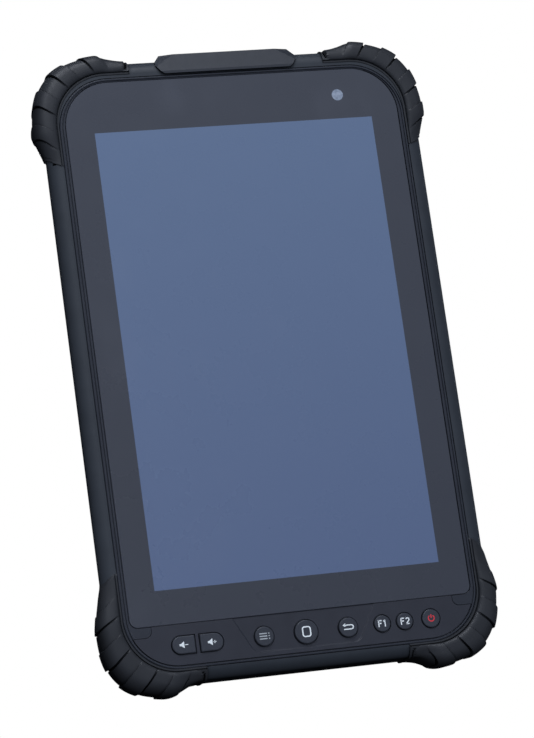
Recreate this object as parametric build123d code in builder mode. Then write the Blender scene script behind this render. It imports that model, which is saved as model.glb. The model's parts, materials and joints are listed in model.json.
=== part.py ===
from build123d import *
import os

# Rugged 8-inch data collector, standing upright: +X to the user's right, +Y from the glass to the
# back, +Z up.  The origin is on the floor under the middle of the object.  Millimetres.

# ---------------------------------------------------------------- driving dimensions
screen_z = 124.5                        # height of the display's centre; its lit area is 107.7 x 172.3

bumper_t = 24.0                         # thickness over the corner bumpers
body_w, body_bottom, body_top = 145.2, 5.1, 238.3
body_r, edge_round = 24.5, 5.0          # plan corner radius, front and back edge radius
front_y, back_y, parting_y = -10.4, 10.5, 2.0
side_lean = 0.22                        # the long sides lean in by this share of the depth behind lean_y
lean_y = front_y + edge_round
side_wall, rear_wall = 4.6, 2.5
seal_inset, seal_w = 2.5, 1.1           # groove for the seal between the two housings

bezel_w, bezel_bottom, bezel_top, bezel_r = 133.8, 9.3, 231.8, 20.0
bezel_front, bezel_back = -10.6, -8.2
bezel_seam = 0.2                        # gap between the bezel and the housing
rim_line, rim_line_w, rim_line_depth = 1.2, 0.5, 0.8    # groove inside the bezel's edge
ledge_w, ledge_back = 3.0, -6.7         # housing ledge that carries the bezel
boss_r = 2.8                            # around a housing screw

glass_w, glass_top, glass_bottom = 128.8, 230.1, 25.7
glass_top_r, glass_bottom_r = 17.5, 3.0
glass_front, glass_t, glass_gap = -10.5, 1.1, 0.3
gasket_t = 0.2
lcd_w, lcd_bottom, lcd_top, lcd_t = 114.6, 30.1, 214.2, 2.6
lcd_clearance = 0.5                     # around the display in the bezel and the gasket
selfie_x, selfie_z = 41.6, screen_z + 95.5      # front camera
selfie_r, selfie_window_r, selfie_w = 2.9, 3.4, 7.0

panel_top, panel_t, panel_gap = 25.5, 1.5, 0.15
tab_x, tab_h, tab_r = 56.8, 3.9, 2.5    # bezel tabs under the glass's lower corners
tray_top_w, tray_low_w, tray_bottom, tray_depth = 54.8, 40.0, 12.2, 0.4
tray_corner_r, tray_taper = 4.0, 50     # the tray's lower corners and the lean of its walls, degrees

key_z, key_front, key_gap = 17.9, -11.2, 0.4
key_edge = 0.4                          # rounding of a key's face
key_travel_room = 0.5                   # free space behind a key, so it can be pressed
key_flange, key_flange_t = 0.8, 0.6
round_keys = (("key_menu", -15.8, 3.55), ("key_home", 0.0, 4.35), ("key_back", 15.9, 3.55),
              ("key_f1", 28.9, 3.05), ("key_f2", 37.5, 3.05), ("key_power", 47.6, 3.35))
volume_keys = (("key_volume_down", -45.85, -1), ("key_volume_up", -35.4, 1))
volume_w, volume_h = 8.5, 6.4
mat_w, mat_h, mat_web, mat_pip_r = 107.0, 10.4, 0.4, 1.6    # silicone mat behind the keys
dome_r, dome_h = 2.0, 0.4
key_board_w, key_board_h, key_board_t = 110.0, 11.0, 0.8

cover_w, cover_lip_bottom, cover_top = 54.6, 232.1, 240.3
cover_front, cover_gap = -11.6, 0.2
cover_crown_y = -8.8                    # where the cover's leaning face meets its top
cover_heel = 5.0                        # back edge of the cover's top
cover_facet_x, cover_facet_low_x = 19.8, 25.4   # where the end facets start, at the top and near the lip
pin_y, pin_z, pin_r, pin_half = 8.0, 237.5, 0.7, 24.5
barrel_r, barrel_half, ear_r = 1.6, 20.5, 1.7
pin_clearance = 0.05
port_w, port_front, port_back, port_bottom, port_top = 48.0, -5.5, 4.5, 229.0, 237.3
ports_y, port_recess = -0.5, 0.3        # middle of the connectors, and how far they sit below the block
usb_x, usb_w, usb_h, usb_depth = -12.0, 9.0, 3.3, 7.5
charge_x, charge_r, charge_bore, charge_depth = 3.0, 3.1, 2.75, 6.8
audio_x, audio_r, audio_bore, audio_depth = 15.0, 2.9, 1.8, 7.6

battery_w, battery_bottom, battery_top, battery_t = 97.0, 33.0, 111.0, 12.9
bay_w, bay_bottom, bay_top = 100.0, 31.0, 113.0         # opening for the battery in the rear housing
door_w, door_bottom, door_top, door_t = 108.0, 27.0, 117.0, 1.5
door_tab_xs, door_tab_w = (-25.0, 25.0), 10.0
door_seal_inset, door_seal_w, door_seal_t = 1.0, 1.2, 0.5
ear_tab_x, ear_tab_w, ear_tab_top = 15.75, 4.5, 121.0   # ears on the door that the latches hold
ear_front, ear_back = 9.0, 9.55
rib_w, rib_h, rib_z, rib_pitch, rib_count = 60.0, 1.4, 36.0, 3.2, 5     # grip ribs on the door
latch_x, latch_w, latch_travel = 19.0, 12.0, 6.0
latch_z, latch_h = 122.0, 6.0           # middle and height of a latch's thumb piece
latch_front, latch_back, grip_back = 9.7, 11.0, 11.4
flange_h, flange_t = 7.6, 0.5
fit = 0.1                               # running clearance of the latches

screw_r, screw_x = 1.2, 63.5            # M2.5 housing screws
screw_head_r, screw_head_depth, screw_length = 2.2, 2.0, 13.0
screw_zs = (45.0, 95.0, 150.0, 200.0)
bracket_dx, bracket_dz, bracket_z = 38.05, 30.17, 152.0     # four-hole pattern for device brackets
bracket_r = 1.65                        # M4 thread, minor radius
strap_x, strap_zs, strap_r = 57.5, (72.0, 172.0), 1.25  # M3 thread, minor radius
bracket_insert_r, strap_insert_r, insert_depth = 3.0, 2.3, 5.0
frame_t, frame_screw_r = 1.6, 0.9       # mid frame and the M1.8 screws that hold it
screw_clearance_r = 1.05                # hole that an M1.8 screw passes through
board_front_y, board_t = -3.8, 1.0
board_w, board_h, board_z, standoff_r = 119.0, 100.0, 173.0, 2.4
shields = ((-30, 150, 40, 34), (22, 148, 34, 28), (-34, 185, 26, 22))   # x, z, width, height
shield_t = 1.8
antenna_w, antenna_z, antenna_t = 25.0, 206.0, 4.0

bumper_r, bumper_x, inner_r, inner_x = 27.7, 48.6, 20.0, 47.7
upper_arcs_z = (screen_z + 90.1, screen_z + 89.3)       # centres of an upper bumper's outer and inner arcs
lower_arcs_z = (27.4, screen_z - 96.0)
upper_side_end, lower_side_end = screen_z + 74.5, screen_z - 77.0
bumper_end_x = 39.5
bumper_hump_x, bumper_hump = 44.0, 26.6     # where the outer edge meets its slope down to the rail
bumper_straight = 4.0                   # straight stretch of the outer edge along the side
bumper_skin = 0.3                       # how far the thin ends stand proud of the body
bumper_edge = 5.0
bumper_screw_r, bumper_head_r, bumper_head_depth = 0.9, 1.5, 0.9

camera_x, camera_z = 45.0, 208.0        # rear camera, with its flash beside it
camera_r, flash_x, flash_r, window_recess = 6.0, 31.0, 2.5, 1.0
speaker_x, speaker_z = -42.0, 208.0
speaker_w, speaker_h, slot_w, slot_h, slot_pitch, slot_count = 22.0, 15.0, 15.0, 1.2, 2.4, 5
dock_z, dock_w, dock_h = 16.5, 40.0, 7.0
contact_r, contact_pitch, contact_count = 1.1, 5.0, 7

body_z, body_h = (body_top + body_bottom) / 2, body_top - body_bottom
bezel_z, bezel_h = (bezel_top + bezel_bottom) / 2, bezel_top - bezel_bottom
glass_z, glass_h = (glass_top + glass_bottom) / 2, glass_top - glass_bottom
lcd_z, lcd_h = (lcd_top + lcd_bottom) / 2, lcd_top - lcd_bottom
battery_z, battery_h = (battery_top + battery_bottom) / 2, battery_top - battery_bottom
door_z, door_h = (door_top + door_bottom) / 2, door_top - door_bottom
port_z, port_h = (port_top + port_bottom) / 2, port_top - port_bottom
rear_inner = back_y - rear_wall
glass_back = glass_front + glass_t
ledge_y = glass_back + gasket_t
panel_back = glass_front + panel_t
key_back_y = panel_back + 0.1 + key_flange_t
mat_front = key_back_y + key_travel_room
mat_back = mat_front + 2 * mat_web
board_front = mat_back + dome_h
board_back_y = board_front_y + board_t


# ---------------------------------------------------------------- helpers
def front(y):
    """Sketch plane at depth y seen by the user: local x is +X and local y is +Z."""
    return Plane.XZ.offset(-y)


def from_back(points, y):
    """Planes at (x, z) points whose normals look out of the back, for holes drilled from behind."""
    return [Plane(origin=(x, y, z), x_dir=(1, 0, 0), z_dir=(0, 1, 0)) for x, z in points]


def mirrored(xs, zs):
    return [(side * x, z) for side in (-1, 1) for x in xs for z in zs]


def box(x0, x1, y0, y1, z0, z1, mode=Mode.SUBTRACT):
    """Block between two corners, cut from the part by default."""
    with Locations(((x0 + x1) / 2, (y0 + y1) / 2, (z0 + z1) / 2)):
        Box(x1 - x0, y1 - y0, z1 - z0, mode=mode)


def span(side, near, far):
    """Two x limits ordered for the left or right side."""
    return sorted((side * near, side * far))


def save(piece, name):
    """Label a finished piece and write it as its own STEP file."""
    piece.part.label = name
    export_step(piece.part, f"parts/{name}.step")


def body_outline(inset=0.0, mode=Mode.ADD):
    with Locations((0, body_z)):
        RectangleRounded(body_w - 2 * inset, body_h - 2 * inset, body_r - inset, mode=mode)


def bezel_outline(inset=0.0, mode=Mode.ADD):
    with Locations((0, bezel_z)):
        RectangleRounded(bezel_w - 2 * inset, bezel_h - 2 * inset, bezel_r - inset, mode=mode)


def disc(x, z, radius):
    """A circle in front view."""
    with Locations((x, z)):
        Circle(radius)


def discs(points, radius, mode=Mode.ADD):
    """Equal circles in front view, for screws, bosses and inserts."""
    with Locations(*points):
        Circle(radius, mode=mode)


def door_outline(inset, radius, mode=Mode.ADD):
    with Locations((0, door_z)):
        RectangleRounded(door_w - 2 * inset, door_h - 2 * inset, radius, mode=mode)


def glass_outline(grow=0.0, mode=Mode.ADD):
    """The cover glass in front view: large upper corners, small lower corners."""
    with BuildSketch(mode=Mode.PRIVATE) as shape:
        with Locations((0, glass_z)):
            Rectangle(glass_w + 2 * grow, glass_h + 2 * grow)
        fillet(shape.vertices().group_by(Axis.Y)[-1], glass_top_r + grow)
        fillet(shape.vertices().group_by(Axis.Y)[0], glass_bottom_r + grow)
    add(shape.sketch, mode=mode)


def panel_outline(gap=0.0, seam=0.0):
    """The keypad panel: inside the line groove, straight above, notched for the two bezel tabs."""
    with BuildSketch(mode=Mode.PRIVATE) as shape:
        bezel_outline(rim_line + rim_line_w / 2 - seam)
        with Locations((0, panel_top + gap + bezel_h / 2)):
            Rectangle(bezel_w, bezel_h, mode=Mode.SUBTRACT)
        for side in (-1, 1):
            with BuildSketch(mode=Mode.PRIVATE) as tab:
                with Locations((side * (tab_x + gap + bezel_w / 4), panel_top)):
                    Rectangle(bezel_w / 2, 2 * (tab_h - gap))
                inner = tab.vertices().sort_by(Axis.X)[2:] if side < 0 else tab.vertices().sort_by(Axis.X)[:2]
                fillet(inner.sort_by(Axis.Y)[0], tab_r)
            add(tab.sketch, mode=Mode.SUBTRACT)
    add(shape.sketch)


def key_outline(name, grow=0.0):
    """One key's cap in front view, grown by a gap or a flange."""
    for key, x, radius in round_keys:
        if key == name:
            with Locations((x, key_z)):
                Circle(radius + grow)
    for key, x, round_side in volume_keys:
        if key == name:
            with BuildSketch(mode=Mode.PRIVATE) as cap:
                with Locations((x, key_z)):
                    Rectangle(volume_w + 2 * grow, volume_h + 2 * grow)
                ends = cap.vertices().sort_by(Axis.X)
                blunt, rounded = (ends[2:], ends[:2]) if round_side < 0 else (ends[:2], ends[2:])
                fillet(rounded, volume_h / 2 + grow - 0.05)
                fillet(blunt, 0.5)
            add(cap.sketch)


key_names = [key for key, *_ in round_keys + volume_keys]
housing_screws_at = mirrored([screw_x], screw_zs)
bracket_at = mirrored([bracket_dx / 2], [bracket_z - bracket_dz / 2, bracket_z + bracket_dz / 2])
strap_at = mirrored([strap_x], strap_zs)
frame_screws_at = mirrored([65.8], [70.0, 122.0, 175.0])
board_screws_at = mirrored([55.0], [126.0, 218.0])
bumper_screws_at = mirrored([63.5], [12.7, 229.6]) + mirrored([44.0], [7.3, 235.7])
key_centres = [(x, key_z) for _, x, _ in round_keys + volume_keys]
contacts_at = [(contact_pitch * (i - (contact_count - 1) / 2), dock_z) for i in range(contact_count)]

os.makedirs("parts", exist_ok=True)

# ---------------------------------------------------------------- shapes that are only used for cutting
with BuildPart() as side_cut:
    half_w = body_w / 2
    back_corner = (half_w - side_lean * (back_y - lean_y), back_y)
    with BuildSketch(Plane.XY) as profile:
        with BuildLine():
            Polyline((half_w, lean_y), back_corner, (half_w - 12, back_y), (half_w - 12, back_y + 2),
                     (half_w + 2, back_y + 2), (half_w + 2, lean_y), close=True)
        make_face()
        fillet(profile.vertices().sort_by_distance(back_corner)[0], edge_round)
    extrude(amount=body_top)
    mirror(about=Plane.YZ)

with BuildPart() as body_envelope:
    with BuildSketch(front(front_y)):
        body_outline()
    extrude(amount=front_y - back_y)
    fillet(body_envelope.faces().sort_by(Axis.Y)[0].edges(), edge_round)
    fillet(body_envelope.faces().sort_by(Axis.Y)[-1].edges(), edge_round)
    add(side_cut.part, mode=Mode.SUBTRACT)

with BuildPart() as port_bay:
    with BuildSketch(front(port_front - 0.05)):
        with Locations((0, (port_bottom + body_top) / 2 + 3)):
            Rectangle(port_w + 0.1, body_top - port_bottom + 6)
    extrude(amount=port_front - port_back - 0.1)

# ---------------------------------------------------------------- front housing: rails and bezel ledge
with BuildPart() as front_housing:
    with BuildSketch(front(front_y)):
        body_outline()
    extrude(amount=front_y - parting_y)
    fillet(front_housing.faces().sort_by(Axis.Y)[0].edges(), edge_round)
    with BuildSketch(front(front_y)):
        bezel_outline()
    extrude(amount=front_y - bezel_back, mode=Mode.SUBTRACT)
    with BuildSketch(front(bezel_back)):
        bezel_outline(ledge_w)
    extrude(amount=bezel_back - ledge_back, mode=Mode.SUBTRACT)
    with BuildSketch(front(ledge_back)):
        body_outline(side_wall)
    extrude(amount=ledge_back - parting_y, mode=Mode.SUBTRACT)
    # screw bosses, each tied to the side wall by a rib
    with BuildSketch(front(ledge_back)):
        discs(housing_screws_at, boss_r)
        for x, z in housing_screws_at:
            with Locations((x + (3.2 if x > 0 else -3.2), z)):
                Rectangle(6.4, 2.0)
    extrude(amount=ledge_back - parting_y)
    with BuildSketch(front(parting_y)):
        discs(housing_screws_at, screw_r)
    extrude(amount=7.0, mode=Mode.SUBTRACT)
    # openings in the ledge for the keypad board's mat and the frame screws
    with BuildSketch(front(bezel_back)):
        with Locations((0, key_z)):
            RectangleRounded(key_board_w + 1.0, key_board_h + 0.8, 2.0)
        discs(frame_screws_at, frame_screw_r)
    extrude(amount=bezel_back - ledge_back, mode=Mode.SUBTRACT)
    # groove for the seal in the rim
    with BuildSketch(front(parting_y)):
        body_outline(seal_inset)
        body_outline(seal_inset + seal_w, mode=Mode.SUBTRACT)
    extrude(amount=0.8, mode=Mode.SUBTRACT)
    add(side_cut.part, mode=Mode.SUBTRACT)
    add(port_bay.part, mode=Mode.SUBTRACT)
save(front_housing, "front_housing")

# ---------------------------------------------------------------- seal between the housings
with BuildPart() as housing_seal:
    with BuildSketch(front(parting_y)):
        body_outline(seal_inset + 0.05)
        body_outline(seal_inset + seal_w - 0.05, mode=Mode.SUBTRACT)
    extrude(amount=0.75)
    add(port_bay.part, mode=Mode.SUBTRACT)
save(housing_seal, "housing_seal")

# ---------------------------------------------------------------- front bezel with its two tabs
with BuildPart() as front_bezel:
    with BuildSketch(front(bezel_front)):
        bezel_outline(bezel_seam)
    extrude(amount=bezel_front - bezel_back)
    chamfer(front_bezel.faces().sort_by(Axis.Y)[0].edges(), 0.25)
    with BuildSketch(front(bezel_front)):
        glass_outline(glass_gap)
    extrude(amount=bezel_front - ledge_y, mode=Mode.SUBTRACT)
    with BuildSketch(front(bezel_front)):
        panel_outline(panel_gap, rim_line_w)
    extrude(amount=bezel_front - panel_back, mode=Mode.SUBTRACT)
    # line groove that runs on from the panel's edge, up the sides and over the glass
    with BuildSketch(front(bezel_front)):
        bezel_outline(rim_line - rim_line_w / 2)
        bezel_outline(rim_line + rim_line_w / 2, mode=Mode.SUBTRACT)
        with Locations((0, panel_top - tab_h - bezel_h / 2)):
            Rectangle(bezel_w, bezel_h, mode=Mode.SUBTRACT)
    extrude(amount=-rim_line_depth, mode=Mode.SUBTRACT)
    # windows for the display and the front camera, and slot for the keys
    with BuildSketch(front(ledge_y)):
        with Locations((0, lcd_z)):
            Rectangle(lcd_w + 2 * lcd_clearance, lcd_h + 2 * lcd_clearance)
        with Locations((0, key_z)):
            RectangleRounded(mat_w + 1.0, mat_h + 0.8, 2.0)
        disc(selfie_x, selfie_z, selfie_window_r)
    extrude(amount=ledge_y - bezel_back, mode=Mode.SUBTRACT)
save(front_bezel, "front_bezel")

# ---------------------------------------------------------------- keypad panel
with BuildPart() as keypad_panel:
    with BuildSketch(front(glass_front)):
        panel_outline()
    extrude(amount=-panel_t)
    # shallow sculpted tray around the middle keys
    with BuildSketch(front(glass_front)) as tray:
        with BuildLine():
            Polyline((-tray_top_w / 2, panel_top + 1), (tray_top_w / 2, panel_top + 1),
                     (tray_low_w / 2, tray_bottom), (-tray_low_w / 2, tray_bottom), close=True)
        make_face()
        fillet(tray.vertices().group_by(Axis.Y)[0], tray_corner_r)
    extrude(amount=-tray_depth, taper=tray_taper, mode=Mode.SUBTRACT)
    with BuildSketch(front(glass_front)):
        for key in key_names:
            key_outline(key, key_gap)
    extrude(amount=-panel_t, mode=Mode.SUBTRACT)
save(keypad_panel, "keypad_panel")

# ---------------------------------------------------------------- keys
for key in key_names:
    with BuildPart() as key_part:
        with BuildSketch(front(key_front)):
            key_outline(key)
        extrude(amount=key_front - panel_back - 0.1)
        fillet(key_part.faces().sort_by(Axis.Y)[0].edges(), key_edge)
        with BuildSketch(front(panel_back + 0.1)):
            key_outline(key, key_flange)
        extrude(amount=-key_flange_t)
    save(key_part, key)

# ---------------------------------------------------------------- keypad mat, domes and board
with BuildPart() as keypad_mat:
    with BuildSketch(front(mat_back)):
        with Locations((0, key_z)):
            RectangleRounded(mat_w, mat_h, 1.8)
    extrude(amount=mat_web)
    with BuildSketch(front(mat_back - mat_web)):
        discs(key_centres, mat_pip_r)
    extrude(amount=mat_web)
save(keypad_mat, "keypad_mat")

with BuildPart() as key_domes:
    with BuildSketch(front(board_front)):
        discs(key_centres, dome_r)
    extrude(amount=dome_h, taper=35)
save(key_domes, "key_domes")

with BuildPart() as keypad_board:
    with BuildSketch(front(board_front)):
        with Locations((0, key_z)):
            RectangleRounded(key_board_w, key_board_h, 1.0)
    extrude(amount=-key_board_t)
save(keypad_board, "keypad_board")

# ---------------------------------------------------------------- glass, gasket, display, front camera
with BuildPart() as touch_glass:
    with BuildSketch(front(glass_front)):
        glass_outline()
    extrude(amount=-glass_t)
    chamfer(touch_glass.faces().sort_by(Axis.Y)[0].edges(), 0.15)
save(touch_glass, "touch_glass")

with BuildPart() as glass_gasket:
    with BuildSketch(front(glass_back)):
        glass_outline(-0.6)
        with Locations((0, lcd_z)):
            Rectangle(lcd_w + 2 * lcd_clearance, lcd_h + 2 * lcd_clearance, mode=Mode.SUBTRACT)
        discs([(selfie_x, selfie_z)], selfie_window_r, mode=Mode.SUBTRACT)
    extrude(amount=-gasket_t)
save(glass_gasket, "glass_gasket")

with BuildPart() as lcd_panel:
    with BuildSketch(front(glass_back)):
        with Locations((0, lcd_z)):
            Rectangle(lcd_w, lcd_h)
    extrude(amount=-lcd_t)
save(lcd_panel, "lcd_panel")

with BuildPart() as front_camera:
    with BuildSketch(front(glass_back + 0.1)):
        disc(selfie_x, selfie_z, selfie_r)
    extrude(amount=-1.6)
    with BuildSketch(front(glass_back + 1.7)):
        with Locations((selfie_x, selfie_z)):
            RectangleRounded(selfie_w, selfie_w, 0.6)
    extrude(amount=-2.6)
save(front_camera, "front_camera")

# ---------------------------------------------------------------- mid frame
with BuildPart() as mid_frame:
    with BuildSketch(front(ledge_back)):
        body_outline(side_wall + 0.3)
        for x, z in housing_screws_at:
            with Locations((x + (3.5 if x > 0 else -3.5), z)):
                Rectangle(13.4, 6.4, mode=Mode.SUBTRACT)
        with Locations((selfie_x, selfie_z)):
            Rectangle(selfie_w + 2.0, selfie_w + 2.0, mode=Mode.SUBTRACT)
        with Locations((0, 221.0)):
            RectangleRounded(30.0, 5.0, 2.0, mode=Mode.SUBTRACT)
        discs(frame_screws_at, screw_clearance_r, mode=Mode.SUBTRACT)
    extrude(amount=-frame_t)
    with BuildSketch(front(ledge_back)):
        with Locations((0, key_z)):
            RectangleRounded(key_board_w + 0.4, key_board_h + 0.4, 1.0)
    extrude(amount=ledge_back - board_front - key_board_t, mode=Mode.SUBTRACT)
    # cradle walls that hold the battery
    with BuildSketch(front(ledge_back + frame_t)):
        with Locations((0, battery_z)):
            Rectangle(battery_w + 4.0, battery_h + 4.0)
            Rectangle(battery_w + 1.0, battery_h + 1.0, mode=Mode.SUBTRACT)
        with Locations((0, battery_top + 2)):
            Rectangle(22.0, 8.0, mode=Mode.SUBTRACT)
    extrude(amount=-7.0)
    # standoffs for the main board
    with BuildSketch(front(ledge_back + frame_t)):
        discs(board_screws_at, standoff_r)
    extrude(amount=ledge_back + frame_t - board_front_y)
    with BuildSketch(front(board_front_y)):
        discs(board_screws_at, frame_screw_r)
    extrude(amount=board_front_y - ledge_back, mode=Mode.SUBTRACT)
    add(port_bay.part, mode=Mode.SUBTRACT)
save(mid_frame, "mid_frame")

with BuildPart() as frame_screws:
    with BuildSketch(front(ledge_back + frame_t)):
        discs(frame_screws_at, 1.7)
    extrude(amount=-1.0)
    with BuildSketch(front(ledge_back + frame_t)):
        discs(frame_screws_at, frame_screw_r)
    extrude(amount=frame_t + 1.2)
save(frame_screws, "frame_screws")

# ---------------------------------------------------------------- main board and what it carries
with BuildPart() as main_board:
    with BuildSketch(front(board_front_y)):
        with Locations((0, board_z)):
            RectangleRounded(board_w, board_h, 2.0)
        discs(board_screws_at, screw_clearance_r, mode=Mode.SUBTRACT)
        with Locations((selfie_x, board_z + board_h / 2 - 2.0)):
            Rectangle(selfie_w + 2.0, 8.0, mode=Mode.SUBTRACT)
    extrude(amount=-board_t)
save(main_board, "main_board")

with BuildPart() as board_screws:
    with BuildSketch(front(board_back_y)):
        discs(board_screws_at, 1.8)
    extrude(amount=-1.0)
    with BuildSketch(front(board_back_y)):
        discs(board_screws_at, frame_screw_r)
    extrude(amount=board_t + 1.3 + frame_t)
save(board_screws, "board_screws")

with BuildPart() as shield_cans:
    with BuildSketch(front(board_back_y)):
        for x, z, width, height in shields:
            with Locations((x, z)):
                RectangleRounded(width, height, 1.0)
    extrude(amount=-shield_t)
save(shield_cans, "shield_cans")

with BuildPart() as gnss_antenna:
    with BuildSketch(front(board_back_y)):
        with Locations((0, antenna_z)):
            RectangleRounded(antenna_w, antenna_w, 1.0)
    extrude(amount=-antenna_t)
    with BuildSketch(front(board_back_y + antenna_t)):
        with Locations((0, antenna_z)):
            Rectangle(antenna_w - 5.0, antenna_w - 5.0)
    extrude(amount=-0.2)
save(gnss_antenna, "gnss_antenna")

with BuildPart() as battery_connector:
    with BuildSketch(front(board_back_y)):
        with Locations((0, 124.5)):
            Rectangle(16.0, 3.0)
    extrude(amount=-3.6)
save(battery_connector, "battery_connector")

with BuildPart() as battery:
    with BuildSketch(front(ledge_back + frame_t + 0.5)):
        with Locations((0, battery_z)):
            RectangleRounded(battery_w, battery_h, 2.0)
    extrude(amount=-battery_t)
    fillet(battery.edges().filter_by(Axis.X).group_by(Axis.Y)[-1], 1.0)
save(battery, "battery")

with BuildPart() as speaker:
    with BuildSketch(front(3.2)):
        with Locations((speaker_x, speaker_z)):
            RectangleRounded(speaker_w, speaker_h, 1.5)
    extrude(amount=-4.6)
save(speaker, "speaker")

with BuildPart() as rear_camera:
    with BuildSketch(front(2.8)):
        with Locations((camera_x, camera_z)):
            RectangleRounded(11.0, 11.0, 0.8)
    extrude(amount=-4.2)
    with BuildSketch(front(7.0)):
        disc(camera_x, camera_z, 3.6)
    extrude(amount=-2.2)
    with BuildSketch(front(9.2)):
        disc(camera_x, camera_z, 1.8)
    extrude(amount=0.8, taper=-30, mode=Mode.SUBTRACT)
save(rear_camera, "rear_camera")

# ---------------------------------------------------------------- port block in the top edge
with BuildPart() as port_block:
    with BuildSketch(front(port_front)):
        with Locations((0, port_z)):
            Rectangle(port_w, port_h)
    extrude(amount=port_front - port_back)
    with BuildSketch(Plane.XY.offset(port_top)):
        with Locations((usb_x, ports_y)):
            RectangleRounded(usb_w + 0.1, usb_h + 0.1, 1.6)
        disc(charge_x, ports_y, charge_r)
        disc(audio_x, ports_y, audio_r)
    extrude(amount=port_bottom - port_top, mode=Mode.SUBTRACT)
save(port_block, "port_block")

with BuildPart() as usb_port:
    with BuildSketch(Plane.XY.offset(port_top - port_recess)):
        with Locations((usb_x, ports_y)):
            RectangleRounded(usb_w, usb_h, 1.55)
            RectangleRounded(usb_w - 0.6, usb_h - 0.7, 1.25, mode=Mode.SUBTRACT)
    extrude(amount=-usb_depth)
    usb_floor = port_top - port_recess - usb_depth
    with BuildSketch(Plane.XY.offset(usb_floor)):
        with Locations((usb_x, ports_y)):
            RectangleRounded(usb_w, usb_h, 1.55)
    extrude(amount=1.0)
    with BuildSketch(Plane.XY.offset(usb_floor + 1.0)):
        with Locations((usb_x, ports_y)):
            Rectangle(usb_w - 2.3, 0.7)
    extrude(amount=usb_depth - 1.9)
save(usb_port, "usb_port")

with BuildPart() as charge_port:
    with BuildSketch(Plane.XY.offset(port_top - port_recess)):
        with Locations((charge_x, ports_y)):
            Circle(charge_r)
            Circle(charge_bore, mode=Mode.SUBTRACT)
    extrude(amount=-charge_depth)
    with BuildSketch(Plane.XY.offset(port_top - port_recess - charge_depth)):
        disc(charge_x, ports_y, charge_r)
    extrude(amount=-1.0)
    with BuildSketch(Plane.XY.offset(port_top - port_recess - charge_depth)):
        disc(charge_x, ports_y, 1.0)
    extrude(amount=charge_depth - 0.8)
save(charge_port, "charge_port")

with BuildPart() as audio_port:
    with BuildSketch(Plane.XY.offset(port_top - port_recess)):
        with Locations((audio_x, ports_y)):
            Circle(audio_r)
            Circle(audio_bore, mode=Mode.SUBTRACT)
    extrude(amount=-audio_depth)
save(audio_port, "audio_port")

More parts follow.
